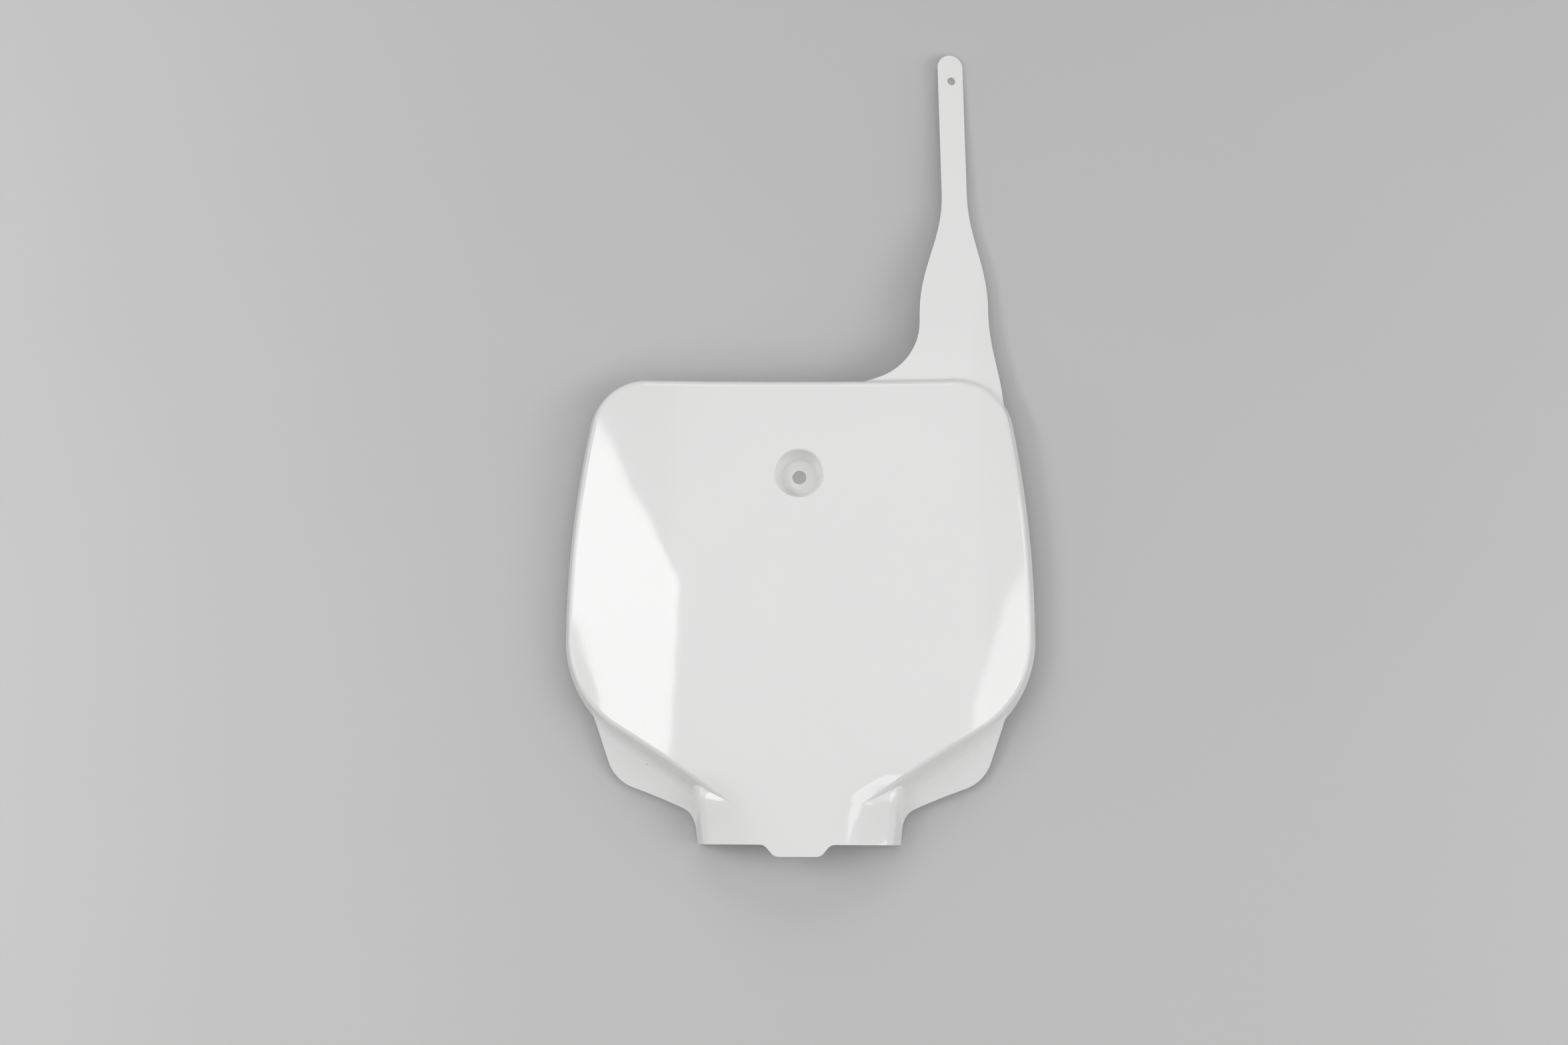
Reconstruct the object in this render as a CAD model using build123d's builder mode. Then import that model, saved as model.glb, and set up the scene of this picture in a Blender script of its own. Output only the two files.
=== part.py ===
import os
from math import cos, radians, tan

from build123d import *

os.makedirs("parts", exist_ok=True)

# Heights are above the table that the board lies on, face up; millimetres and degrees.
wall = 2.2  # thickness of the moulding
draft = 15  # lean of every side wall
edge_radius = 3.2  # rounding between the face and the side walls
crown_edge_radius = 6.0  # softer rounding along both sides of the crown
strap_root_radius = 2.5  # rounding where the strap meets the side walls

# Face: a shallow barrel that arches more tightly into the crown at the lower end.
crest_height = 39
crest_y = -40
length_radius = 700
panel_radius = 300
crown_radius = 95
crown_blend_top = -138
crown_blend_bottom = -178
run_out_y = -157.6  # where both V lines run out between the shield and the crown
run_out_slope = 0.02
crown_roll = 14  # above the run-out the crown rolls away into the groove beside it

# Plan of the shield, at table level.
outline_top = 54.8
shoulder_half_width = 100.3
shoulder_radius = 31
cheek_half_width = 115
cheek_y = -108.7
cheek_radius = 60
side_bow = 6.7
throat_half_width = 50.5
throat_y = -153.4
point_radius = 18

# Crown: the arched channel below the shield, with a mouth and a short tongue.
crown_half_width = 49.2
crown_flare = 0.2
crown_length = 54
crown_spare = 20
mouth_corner_y = -175.5
mouth_lean = 2.5
tongue_length = 5.7
tongue_root_width = 31.8
tongue_tip_width = 22.2
tongue_radius = 4.5

# Brim: one surface carries the free edge of the walls, both ears and the strap.
rim_depth = 8.5
ear_start = -95
ear_ease = 12
strap_start = 48

# Ears, one at each side of the crown.
ear_tip = (cheek_half_width - 25.4, cheek_y - 36.6)
ear_tip_radius = 20
ear_lean = 0.326
ear_bow = 0.6
ear_inner_x = throat_half_width - 20.5
ear_top_y = cheek_y + 3.7
heel = (crown_half_width + 3, mouth_corner_y + 15.3)
heel_slant = 0.36
heel_radius = 10
ear_root_radius = (ear_tip[0] - heel[0]) * 7 / 37.4  # sweep from the ears up into the side walls

# Strap with one small hole.
strap_width = 12.5
strap_tip = (73.5, 219)
strap_lean = 0.029
strap_neck_y = 146
strap_root_left = (58.2, 84)
strap_root_right = (92, 87)
strap_flank = (98.2, 47.5)
strap_anchor = (100.2, 18)
strap_inner_x = 25
strap_meet_x = 34.5
strap_corner_rise = 0.364
strap_corner_radius = 31
strap_hole_diameter = 4.1
strap_hole_setback = 13.5

# Cup with the bolt hole, square to the face at the origin.
cup_mouth_diameter = 23.6
cup_floor_diameter = 17.2
cup_depth = 10
cup_lip_radius = 1.0
bolt_hole_diameter = 6.8

reach = 90  # longer than any cut needs to be
shield_fall = (cheek_y - throat_y) / (cheek_half_width - throat_half_width)
bolt_height = crest_height - crest_y**2 / (2 * length_radius) - cup_depth - wall / 2
table = Plane.XY.offset(-bolt_height)


def ease(start, end, value):
    part = min(1, max(0, (value - start) / (end - start)))
    return part * part * (3 - 2 * part)


def barrel(x, y):
    return crest_height - (y - crest_y) ** 2 / (2 * length_radius) - x**2 / (2 * panel_radius)


def arch_height(x, y):
    fade = ease(crown_blend_top, crown_blend_bottom, y)
    return barrel(x, y) - fade * (1 / crown_radius - 1 / panel_radius) * x**2 / 2


def face_height(x, y):
    return arch_height(x, y) - run_out_slope * max(0, run_out_y - y)


def crown_height(x, y):
    above = max(0, y - run_out_y)
    return arch_height(x, y) - run_out_slope * above - above**2 / (2 * crown_roll)


def ear_ramp(y):
    below = max(0, ear_start - y)
    return below**2 / (below + ear_ease)


def strap_ramp(y):
    return max(0, y - strap_start) ** 2


# The crown corners and the strap tip touch the table, which sets both slopes.
strap_side = strap_tip[0] + strap_width / 2
ear_slope = (barrel(crown_half_width, mouth_corner_y) - rim_depth) / ear_ramp(mouth_corner_y)
strap_lift = (rim_depth - barrel(strap_side, strap_tip[1])) / strap_ramp(strap_tip[1])


def brim_height(x, y):
    return barrel(x, y) - rim_depth - ear_slope * ear_ramp(y) + strap_lift * strap_ramp(y)


def spread(first, last, count):
    return [first + (last - first) * step / (count - 1) for step in range(count)]


def surface(height, x_values, y_values):
    rows = [[(x, y, height(x, y) - bolt_height) for x in x_values] for y in y_values]
    return Face.make_surface_from_array_of_points(rows, tol=0.02)


face_sheet = surface(face_height, spread(-125, 125, 21), spread(-215, 65, 71))
crown_sheet = surface(crown_height, spread(-70, 70, 11), spread(-215, -135, 33))
brim_sheet = surface(brim_height, spread(-125, 125, 15), spread(-215, 235, 46))


def shield_outline(inset):
    with BuildSketch(table) as outline:
        with BuildLine():
            shoulder = (shoulder_half_width, outline_top)
            cheek = (cheek_half_width, cheek_y)
            Line((0, throat_y - shield_fall * throat_half_width), cheek)
            SagittaArc(cheek, shoulder, -side_bow)
            Line(shoulder, (0, outline_top))
            mirror(about=Plane.YZ)
        make_face()
        fillet(outline.vertices().group_by(Axis.Y)[0], point_radius)
        fillet(outline.vertices().group_by(Axis.Y)[-1].filter_by(lambda v: v.X != 0), shoulder_radius)
        fillet(outline.vertices().sort_by(lambda v: abs(abs(v.X) - cheek_half_width))[:2], cheek_radius)
        if inset:
            offset(amount=-inset, mode=Mode.REPLACE)
    return outline.sketch


def crown_outline(inset):
    with BuildSketch(table) as outline:
        with BuildLine():
            foot = (crown_half_width - crown_flare * crown_spare - inset, mouth_corner_y - crown_spare)
            head = (foot[0] + crown_flare * crown_length, foot[1] + crown_length)
            Polyline((0, foot[1]), foot, head, (0, head[1]))
            mirror(about=Plane.YZ)
        make_face()
    return outline.sketch


def block(outline, sheet, inset, rounding):
    with BuildPart() as solid:
        extrude(outline(inset / cos(radians(draft))), amount=reach * 0.7, taper=draft)
        lowered = sheet.moved(Location((0, 0, -inset)))
        extrude(lowered, amount=reach, dir=(0, 0, -1), mode=Mode.INTERSECT)
        top = solid.faces().sort_by(lambda f: f.center().Z)[-1]
        fillet(top.edges(), rounding - inset)
        if not inset:
            extrude(brim_sheet, amount=reach, dir=(0, 0, -1), mode=Mode.SUBTRACT)
    return solid.part


shield = block(shield_outline, face_sheet, 0, edge_radius)
crown = block(crown_outline, crown_sheet, 0, crown_edge_radius)
shield_core = block(shield_outline, face_sheet, wall, edge_radius)
crown_core = block(crown_outline, crown_sheet, wall, crown_edge_radius)

with BuildPart() as ears:
    with BuildSketch(table) as ear_plan:
        with BuildLine():
            heel_end = (heel[0] - (heel[1] - mouth_corner_y) * heel_slant, mouth_corner_y)
            top = (ear_tip[0] + ear_lean * (ear_top_y - ear_tip[1]), ear_top_y)
            Line(top, ear_tip)
            SagittaArc(ear_tip, heel, -ear_bow)
            Polyline(heel, heel_end, (ear_inner_x, mouth_corner_y), (ear_inner_x, ear_top_y), top)
        make_face()
        fillet(ear_plan.vertices().sort_by_distance((*ear_tip, 0))[0], ear_tip_radius)
        fillet(ear_plan.vertices().sort_by_distance((*heel, 0))[0], heel_radius)
        mirror(about=Plane.YZ)
    extrude(amount=reach, both=True)
    extrude(brim_sheet, amount=wall, dir=(0, 0, 1), mode=Mode.INTERSECT)

with BuildPart() as strap:
    with BuildSketch(table) as strap_plan:
        with BuildLine():
            half = strap_width / 2
            end_y = strap_tip[1] - half
            neck_x = strap_tip[0] + strap_lean * (end_y - strap_neck_y)
            meet_y = outline_top - brim_height(strap_meet_x, outline_top) * tan(radians(draft))
            corner_x = strap_root_left[0]
            corner = (corner_x, meet_y + strap_corner_rise * (corner_x - strap_meet_x))
            inner_y = meet_y + strap_corner_rise * (strap_inner_x - strap_meet_x)
            along = (-strap_lean, 1)
            Polyline(strap_anchor, (strap_inner_x, strap_anchor[1]), (strap_inner_x, inner_y), corner)
            Line(corner, strap_root_left)
            Spline(strap_root_left, (neck_x - half, strap_neck_y), tangents=((0, 1), along))
            Line((neck_x - half, strap_neck_y), (strap_tip[0] - half, end_y))
            ThreePointArc((strap_tip[0] - half, end_y), strap_tip, (strap_tip[0] + half, end_y))
            Line((strap_tip[0] + half, end_y), (neck_x + half, strap_neck_y))
            Spline((neck_x + half, strap_neck_y), strap_root_right, tangents=((strap_lean, -1), (0, -1)))
            Spline(strap_root_right, strap_flank, strap_anchor, tangents=((0, -1), (0, -1)))
        make_face()
        fillet(strap_plan.vertices().sort_by_distance((*corner, 0))[0], strap_corner_radius)
    extrude(amount=reach, both=True)
    extrude(brim_sheet, amount=wall, dir=(0, 0, 1), mode=Mode.INTERSECT)

cup_plane = Plane(origin=(0, 0, 0), x_dir=(1, 0, 0), z_dir=(0, -crest_y / length_radius, 1))
cup_taper = (cup_mouth_diameter - cup_floor_diameter) / 2 / cup_depth
standing = (Align.CENTER, Align.CENTER, Align.MIN)

hole_x = strap_tip[0] + strap_lean * strap_hole_setback
hole_y = strap_tip[1] - strap_hole_setback
hole_fall = (hole_y - crest_y) / length_radius - 2 * strap_lift * (hole_y - strap_start)
strap_plane = Plane(
    origin=(hole_x, hole_y, brim_height(hole_x, hole_y) + wall / 2 - bolt_height),
    z_dir=(hole_x / panel_radius, hole_fall, 1),
)
mouth_plane = Plane(
    origin=(0, mouth_corner_y, -bolt_height),
    x_dir=(1, 0, 0),
    z_dir=(0, -tan(radians(mouth_lean)), 1),
)


def above_brim(edge):
    middle = edge.center()
    return middle.Z + bolt_height - brim_height(middle.X, middle.Y) - wall


def wall_roots(solid):
    brims = solid.faces().filter_by(lambda f: f.normal_at().Z > 0.7 and 500 < f.area < 20000)
    wall_edges = solid.faces().filter_by(lambda f: 0.1 < f.normal_at().Z < 0.35).edges()
    roots = brims.edges().filter_by(lambda e: any(e.is_same(other) for other in wall_edges))
    return roots.filter_by(lambda e: abs(above_brim(e)) < 1 and abs(e.center().X) > heel[0])


with BuildPart() as board:
    add(shield)
    add(crown)
    add(ears.part)
    add(strap.part)
    fillet(wall_roots(board).filter_by(lambda e: e.center().Y > 0), strap_root_radius)
    fillet(wall_roots(board).filter_by(lambda e: e.center().Y < 0), ear_root_radius)
    add(shield_core, mode=Mode.SUBTRACT)
    add(crown_core, mode=Mode.SUBTRACT)
    with Locations(cup_plane.offset(-wall / 2)):
        base = cup_floor_diameter / 2 + wall
        rise = cup_depth + wall / 2
        Cone(base, base + cup_taper * rise, rise, align=standing)
    with Locations(cup_plane.offset(wall / 2)):
        base = cup_floor_diameter / 2
        rise = cup_depth * 1.3
        Cone(base, base + cup_taper * rise, rise, align=standing, mode=Mode.SUBTRACT)
    cup_rims = board.edges().filter_by(lambda e: e.center().length < cup_mouth_diameter)
    cup_rims = cup_rims.filter_by(lambda e: e.center().Z > cup_depth * 0.8)
    fillet(cup_rims, cup_lip_radius)
    with Locations(cup_plane):
        Cylinder(bolt_hole_diameter / 2, wall * 3, mode=Mode.SUBTRACT)
    with Locations(strap_plane):
        Cylinder(strap_hole_diameter / 2, wall * 3, mode=Mode.SUBTRACT)
    with BuildSketch(mouth_plane) as mouth_cut:
        with Locations((0, -reach / 2)):
            Rectangle(reach * 2, reach)
        with BuildLine():
            Polyline(
                (-tongue_root_width / 2, 0),
                (-tongue_tip_width / 2, -tongue_length),
                (tongue_tip_width / 2, -tongue_length),
                (tongue_root_width / 2, 0),
                close=True,
            )
        make_face(mode=Mode.SUBTRACT)
        fillet(mouth_cut.vertices().filter_by(lambda v: abs(v.X) < tongue_root_width), tongue_radius)
    extrude(amount=reach, both=True, mode=Mode.SUBTRACT)

board.part.label = "number_board"
export_step(board.part, "parts/number_board.step")
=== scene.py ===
import math

import bpy
from mathutils import Matrix, Vector


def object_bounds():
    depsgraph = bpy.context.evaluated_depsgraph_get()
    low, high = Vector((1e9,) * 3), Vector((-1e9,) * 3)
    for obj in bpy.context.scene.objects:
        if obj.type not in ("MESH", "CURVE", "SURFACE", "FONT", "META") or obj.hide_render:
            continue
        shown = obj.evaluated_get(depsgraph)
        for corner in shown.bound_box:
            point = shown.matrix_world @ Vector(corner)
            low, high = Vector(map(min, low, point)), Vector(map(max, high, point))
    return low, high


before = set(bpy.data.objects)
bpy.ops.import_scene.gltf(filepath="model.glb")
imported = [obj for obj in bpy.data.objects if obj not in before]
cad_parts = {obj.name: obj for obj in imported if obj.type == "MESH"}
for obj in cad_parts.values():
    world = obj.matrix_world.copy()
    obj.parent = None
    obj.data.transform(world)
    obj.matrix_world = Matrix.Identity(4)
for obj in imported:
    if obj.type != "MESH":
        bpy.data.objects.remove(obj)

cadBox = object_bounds()
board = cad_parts["number_board"]
tableZ = cadBox[0].z
print("frame loaded: number board lies on the table at z =", round(tableZ, 5))


def addNode(tree, kind, x, y, **settings):
    node = tree.nodes.new(kind)
    node.location = (x, y)
    for name, value in settings.items():
        setattr(node, name, value)
    return node


def setInputs(node, **values):
    for name, value in values.items():
        node.inputs[name.replace("_", " ")].default_value = value


def newMaterial(name):
    material = bpy.data.materials.new(name)
    material.use_nodes = True
    material.node_tree.nodes.clear()
    return material, material.node_tree


def newGroup(name, inputs, outputs):
    group = bpy.data.node_groups.new(name, "ShaderNodeTree")
    for socketName, kind, value in inputs:
        socket = group.interface.new_socket(socketName, in_out="INPUT", socket_type=kind)
        socket.default_value = value
    for socketName, kind in outputs:
        group.interface.new_socket(socketName, in_out="OUTPUT", socket_type=kind)
    return group


def placeGroup(tree, group, x, y, **values):
    node = addNode(tree, "ShaderNodeGroup", x, y, node_tree=group)
    setInputs(node, **values)
    return node


# fine grain: a soft cloud, a sharp grain for bump, and sparse specks
def makeFineGrain():
    group = newGroup(
        "fineGrain",
        [
            ("Vector", "NodeSocketVector", (0.0, 0.0, 0.0)),
            ("Cloud Scale", "NodeSocketFloat", 12.0),
            ("Grain Scale", "NodeSocketFloat", 900.0),
            ("Speck Scale", "NodeSocketFloat", 60.0),
            ("Speck Size", "NodeSocketFloat", 0.02),
        ],
        [("Cloud", "NodeSocketFloat"), ("Grain", "NodeSocketFloat"), ("Specks", "NodeSocketFloat")],
    )
    source = addNode(group, "NodeGroupInput", -700, 0)
    sink = addNode(group, "NodeGroupOutput", 500, 0)
    cloud = addNode(group, "ShaderNodeTexNoise", -400, 250)
    setInputs(cloud, Detail=4.0, Roughness=0.55)
    grain = addNode(group, "ShaderNodeTexNoise", -400, 0)
    setInputs(grain, Detail=2.0, Roughness=0.5)
    cells = addNode(group, "ShaderNodeTexVoronoi", -400, -250)
    speck = addNode(group, "ShaderNodeMapRange", -100, -250)
    setInputs(speck, From_Min=0.0, To_Min=1.0, To_Max=0.0)
    rare = addNode(group, "ShaderNodeMath", 100, -400, operation="GREATER_THAN")
    split = addNode(group, "ShaderNodeSeparateColor", -100, -450)
    keep = addNode(group, "ShaderNodeMath", 300, -250, operation="MULTIPLY")
    rare.inputs[1].default_value = 0.86  # only a few cells hold a speck
    link = group.links.new
    for texture, scale in ((cloud, "Cloud Scale"), (grain, "Grain Scale"), (cells, "Speck Scale")):
        link(source.outputs["Vector"], texture.inputs["Vector"])
        link(source.outputs[scale], texture.inputs["Scale"])
    link(cells.outputs["Distance"], speck.inputs["Value"])
    link(source.outputs["Speck Size"], speck.inputs["From Max"])
    link(cells.outputs["Color"], split.inputs["Color"])
    link(split.outputs["Red"], rare.inputs[0])
    link(speck.outputs["Result"], keep.inputs[0])
    link(rare.outputs["Value"], keep.inputs[1])
    link(cloud.outputs["Fac"], sink.inputs["Cloud"])
    link(grain.outputs["Fac"], sink.inputs["Grain"])
    link(keep.outputs["Value"], sink.inputs["Specks"])
    return group


fineGrain = makeFineGrain()
print("shared grain ready")


boardLook = {
    "white": (0.82, 0.82, 0.815, 1.0),
    "shade": (0.79, 0.79, 0.785, 1.0),
    "dust": (0.42, 0.41, 0.39, 1.0),
    "gloss": (0.06, 0.09),  # roughness, from the clearest to the dullest part
    "insideRoughness": 0.42,
    "cloudScale": 9.0,
    "dustScale": 70.0,
    "dustSize": 0.035,
    "peelScale": 420.0,
    "peelHeight": 0.000012,
    "peelStrength": 0.35,
    "ior": 1.49,
}


def makeGlossWhite(look):
    material, tree = newMaterial("glossWhitePlastic")
    link = tree.links.new
    place = addNode(tree, "ShaderNodeTexCoord", -1300, 0)
    grain = placeGroup(tree, fineGrain, -1050, 100, Cloud_Scale=look["cloudScale"], Grain_Scale=look["peelScale"])
    setInputs(grain, Speck_Scale=look["dustScale"], Speck_Size=look["dustSize"])
    link(place.outputs["Object"], grain.inputs["Vector"])

    tone = addNode(tree, "ShaderNodeMix", -700, 300, data_type="RGBA")
    tone.inputs["A"].default_value = look["white"]
    tone.inputs["B"].default_value = look["shade"]
    link(grain.outputs["Cloud"], tone.inputs["Factor"])
    dusty = addNode(tree, "ShaderNodeMix", -450, 300, data_type="RGBA")
    dusty.inputs["B"].default_value = look["dust"]
    link(tone.outputs["Result"], dusty.inputs["A"])
    link(grain.outputs["Specks"], dusty.inputs["Factor"])

    gloss = addNode(tree, "ShaderNodeMapRange", -700, 0)
    setInputs(gloss, From_Min=0.3, From_Max=0.7, To_Min=look["gloss"][0], To_Max=look["gloss"][1])
    link(grain.outputs["Cloud"], gloss.inputs["Value"])
    # the core side of the mould faces down and is satin
    facing = addNode(tree, "ShaderNodeSeparateXYZ", -1050, -250)
    link(place.outputs["Normal"], facing.inputs["Vector"])
    inside = addNode(tree, "ShaderNodeMapRange", -850, -250)
    setInputs(inside, From_Min=-0.1, From_Max=-0.3, To_Min=0.0, To_Max=1.0)
    link(facing.outputs["Z"], inside.inputs["Value"])
    rough = addNode(tree, "ShaderNodeMix", -450, 0, data_type="FLOAT")
    rough.inputs["B"].default_value = look["insideRoughness"]
    link(inside.outputs["Result"], rough.inputs["Factor"])
    link(gloss.outputs["Result"], rough.inputs["A"])

    peel = addNode(tree, "ShaderNodeBump", -450, -300)
    setInputs(peel, Strength=look["peelStrength"], Distance=look["peelHeight"])
    link(grain.outputs["Grain"], peel.inputs["Height"])

    shader = addNode(tree, "ShaderNodeBsdfPrincipled", -150, 100)
    setInputs(shader, IOR=look["ior"])
    link(dusty.outputs["Result"], shader.inputs["Base Color"])
    link(rough.outputs["Result"], shader.inputs["Roughness"])
    link(peel.outputs["Normal"], shader.inputs["Normal"])
    out = addNode(tree, "ShaderNodeOutputMaterial", 200, 100)
    link(shader.outputs["BSDF"], out.inputs["Surface"])
    return material


glossWhite = makeGlossWhite(boardLook)
for slot in board.material_slots:
    slot.material = glossWhite
print("board finished in gloss white")


floorLook = {
    "size": 6.0,
    "pale": (0.525, 0.53, 0.525, 1.0),
    "shade": (0.505, 0.51, 0.505, 1.0),
    "cloudScale": 5.0,
    "roughness": 0.75,
    "paintedGlowSpots": {  # x, y, radius and strength of a painted glow on the floor, emission standing in for light that comes through the thin plastic
        "shield": (0.0, -0.015, 0.07, 0.34),
        "strap": (0.0738, 0.2062, 0.0045, 0.22),
    },
}


def makeFloor(look):
    half = look["size"] / 2
    mesh = bpy.data.meshes.new("floor")
    corners = [(-half, -half, tableZ), (half, -half, tableZ), (half, half, tableZ), (-half, half, tableZ)]
    mesh.from_pydata(corners, [], [(0, 1, 2, 3)])
    floor = bpy.data.objects.new("floor", mesh)
    bpy.context.scene.collection.objects.link(floor)
    material, tree = newMaterial("palePaper")
    link = tree.links.new
    place = addNode(tree, "ShaderNodeTexCoord", -900, 0)
    grain = placeGroup(tree, fineGrain, -700, 0, Cloud_Scale=look["cloudScale"])
    link(place.outputs["Object"], grain.inputs["Vector"])
    tone = addNode(tree, "ShaderNodeMix", -400, 100, data_type="RGBA")
    tone.inputs["A"].default_value = look["pale"]
    tone.inputs["B"].default_value = look["shade"]
    link(grain.outputs["Cloud"], tone.inputs["Factor"])
    shader = addNode(tree, "ShaderNodeBsdfPrincipled", -150, 100)
    setInputs(shader, Roughness=look["roughness"], Emission_Strength=1.0)
    link(tone.outputs["Result"], shader.inputs["Base Color"])
    # painted glow: the floor under the board emits light, standing in for light through the thin plastic, and
    # this is what its two holes show
    paintedGlow = addNode(tree, "ShaderNodeMath", -400, -200, operation="ADD")
    for i, (x, y, radius, strength) in enumerate(look["paintedGlowSpots"].values()):
        reach = addNode(tree, "ShaderNodeVectorMath", -900, -200 - 200 * i, operation="DISTANCE")
        reach.inputs[1].default_value = (x, y, tableZ)
        link(place.outputs["Object"], reach.inputs[0])
        spot = addNode(tree, "ShaderNodeMapRange", -700, -200 - 200 * i, interpolation_type="SMOOTHSTEP")
        setInputs(spot, From_Min=0.0, From_Max=radius, To_Min=strength, To_Max=0.0)
        link(reach.outputs["Value"], spot.inputs["Value"])
        link(spot.outputs["Result"], paintedGlow.inputs[i])
    link(paintedGlow.outputs["Value"], shader.inputs["Emission Color"])
    out = addNode(tree, "ShaderNodeOutputMaterial", 150, 100)
    link(shader.outputs["BSDF"], out.inputs["Surface"])
    material.cycles.emission_sampling = "NONE"  # the painted glow is too faint to be sampled as a lamp
    mesh.materials.append(material)


makeFloor(floorLook)
print("floor laid")


# a softbox is given by one corner, its two edges from there, and how bright its cloth is
softboxes = {
    "leftSoftbox": {
        "corner": (-0.535, 0.06, 1.0),
        "edges": ((-0.6264, -1.104, 0.96), (-1.4088, 1.1712, 0.4272)),
        "bright": 5.1,
    },
    "rightSoftbox": {
        "corner": (0.58, -0.43, 1.0),
        "edges": ((0.49, 0.70, 0.0), (0.86, -0.602, 0.0)),
        "bright": 3.3,
    },
    "overheadPanel": {
        "corner": (-0.9, -1.0, 1.6),
        "edges": ((2.1, 0.0, 0.0), (0.0, 2.0, 0.0)),
        "bright": 0.52,
    },
    "backPanel": {
        "corner": (-0.8, 1.08, 1.245),
        "edges": ((1.6, 0.0, 0.0), (0.0, 0.459, -0.655)),
        "bright": 1.6,
    },
    "frontPanel": {
        "corner": (0.4, -0.85, 1.414),
        "edges": ((-0.8, 0.0, 0.0), (0.0, -0.566, -0.566)),
        "bright": 0.9,
    },
    "frontSoftbox": {
        "corner": (0.25, -0.64, 1.0),
        "edges": ((0.30, 0.0, 0.0), (0.0, -0.14, 0.0)),
        "bright": 3.4,
    },
    "lowLeftPanel": {
        "corner": (-1.37, -0.4, 0.92),
        "edges": ((0.0, 0.8, 0.0), (-0.274, 0.0, -0.752)),
        "bright": 1.9,
    },
    "lowRightPanel": {
        "corner": (1.37, 0.4, 0.92),
        "edges": ((0.0, -0.8, 0.0), (0.274, 0.0, -0.752)),
        "bright": 2.4,
    },
}
worldLook = {"grey": (0.13, 0.13, 0.13, 1.0)}


def makeSoftbox(name, box):
    along, across = (Vector(edge) for edge in box["edges"])
    lamp = bpy.data.lights.new(name, "AREA")
    lamp.shape = "RECTANGLE"
    lamp.size, lamp.size_y = along.length, across.length
    lamp.energy = box["bright"] * math.pi * along.length * across.length
    middle = Vector(box["corner"]) + (along + across) / 2
    back = along.cross(across).normalized()
    if back.dot(middle) < 0:  # the cloth faces the board
        back.negate()
    side = along.normalized()
    holder = bpy.data.objects.new(name, lamp)
    turn = Matrix((side, back.cross(side), back)).transposed().to_4x4()
    holder.matrix_world = Matrix.Translation(middle) @ turn
    bpy.context.scene.collection.objects.link(holder)


for name, box in softboxes.items():
    makeSoftbox(name, box)
world = bpy.data.worlds.new("studio")
world.use_nodes = True
world.node_tree.nodes["Background"].inputs["Color"].default_value = worldLook["grey"]
bpy.context.scene.world = world
print("studio lit")


cameraLook = {
    "azimuth": 15.0,
    "elevation": 81.0,
    "roll": -14.771,
    "distance": 1.4,
    "target": (-0.007316, -0.021785, 0.0),
    "focalPixels": 4348.0,
    "imageWidth": 2352.0,
    "sensor": 36.0,
    "clipStart": 0.05,
}


def makeCamera(look):
    turn, rise, roll = (math.radians(look[name]) for name in ("azimuth", "elevation", "roll"))
    back = Vector((math.sin(turn) * math.cos(rise), -math.cos(turn) * math.cos(rise), math.sin(rise)))
    level = Vector((math.cos(turn), math.sin(turn), 0))
    above = back.cross(level)
    right = level * math.cos(roll) + above * math.sin(roll)
    up = above * math.cos(roll) - level * math.sin(roll)
    lens = bpy.data.cameras.new("camera")
    lens.sensor_fit = "HORIZONTAL"
    lens.sensor_width = look["sensor"]
    lens.lens = look["focalPixels"] / look["imageWidth"] * look["sensor"]
    lens.clip_start = look["clipStart"]
    camera = bpy.data.objects.new("camera", lens)
    eye = Vector(look["target"]) + back * look["distance"]
    camera.matrix_world = Matrix.Translation(eye) @ Matrix((right, up, back)).transposed().to_4x4()
    bpy.context.scene.collection.objects.link(camera)
    bpy.context.scene.camera = camera


makeCamera(cameraLook)
bpy.context.scene.view_settings.view_transform = "Standard"
print("camera above the board")
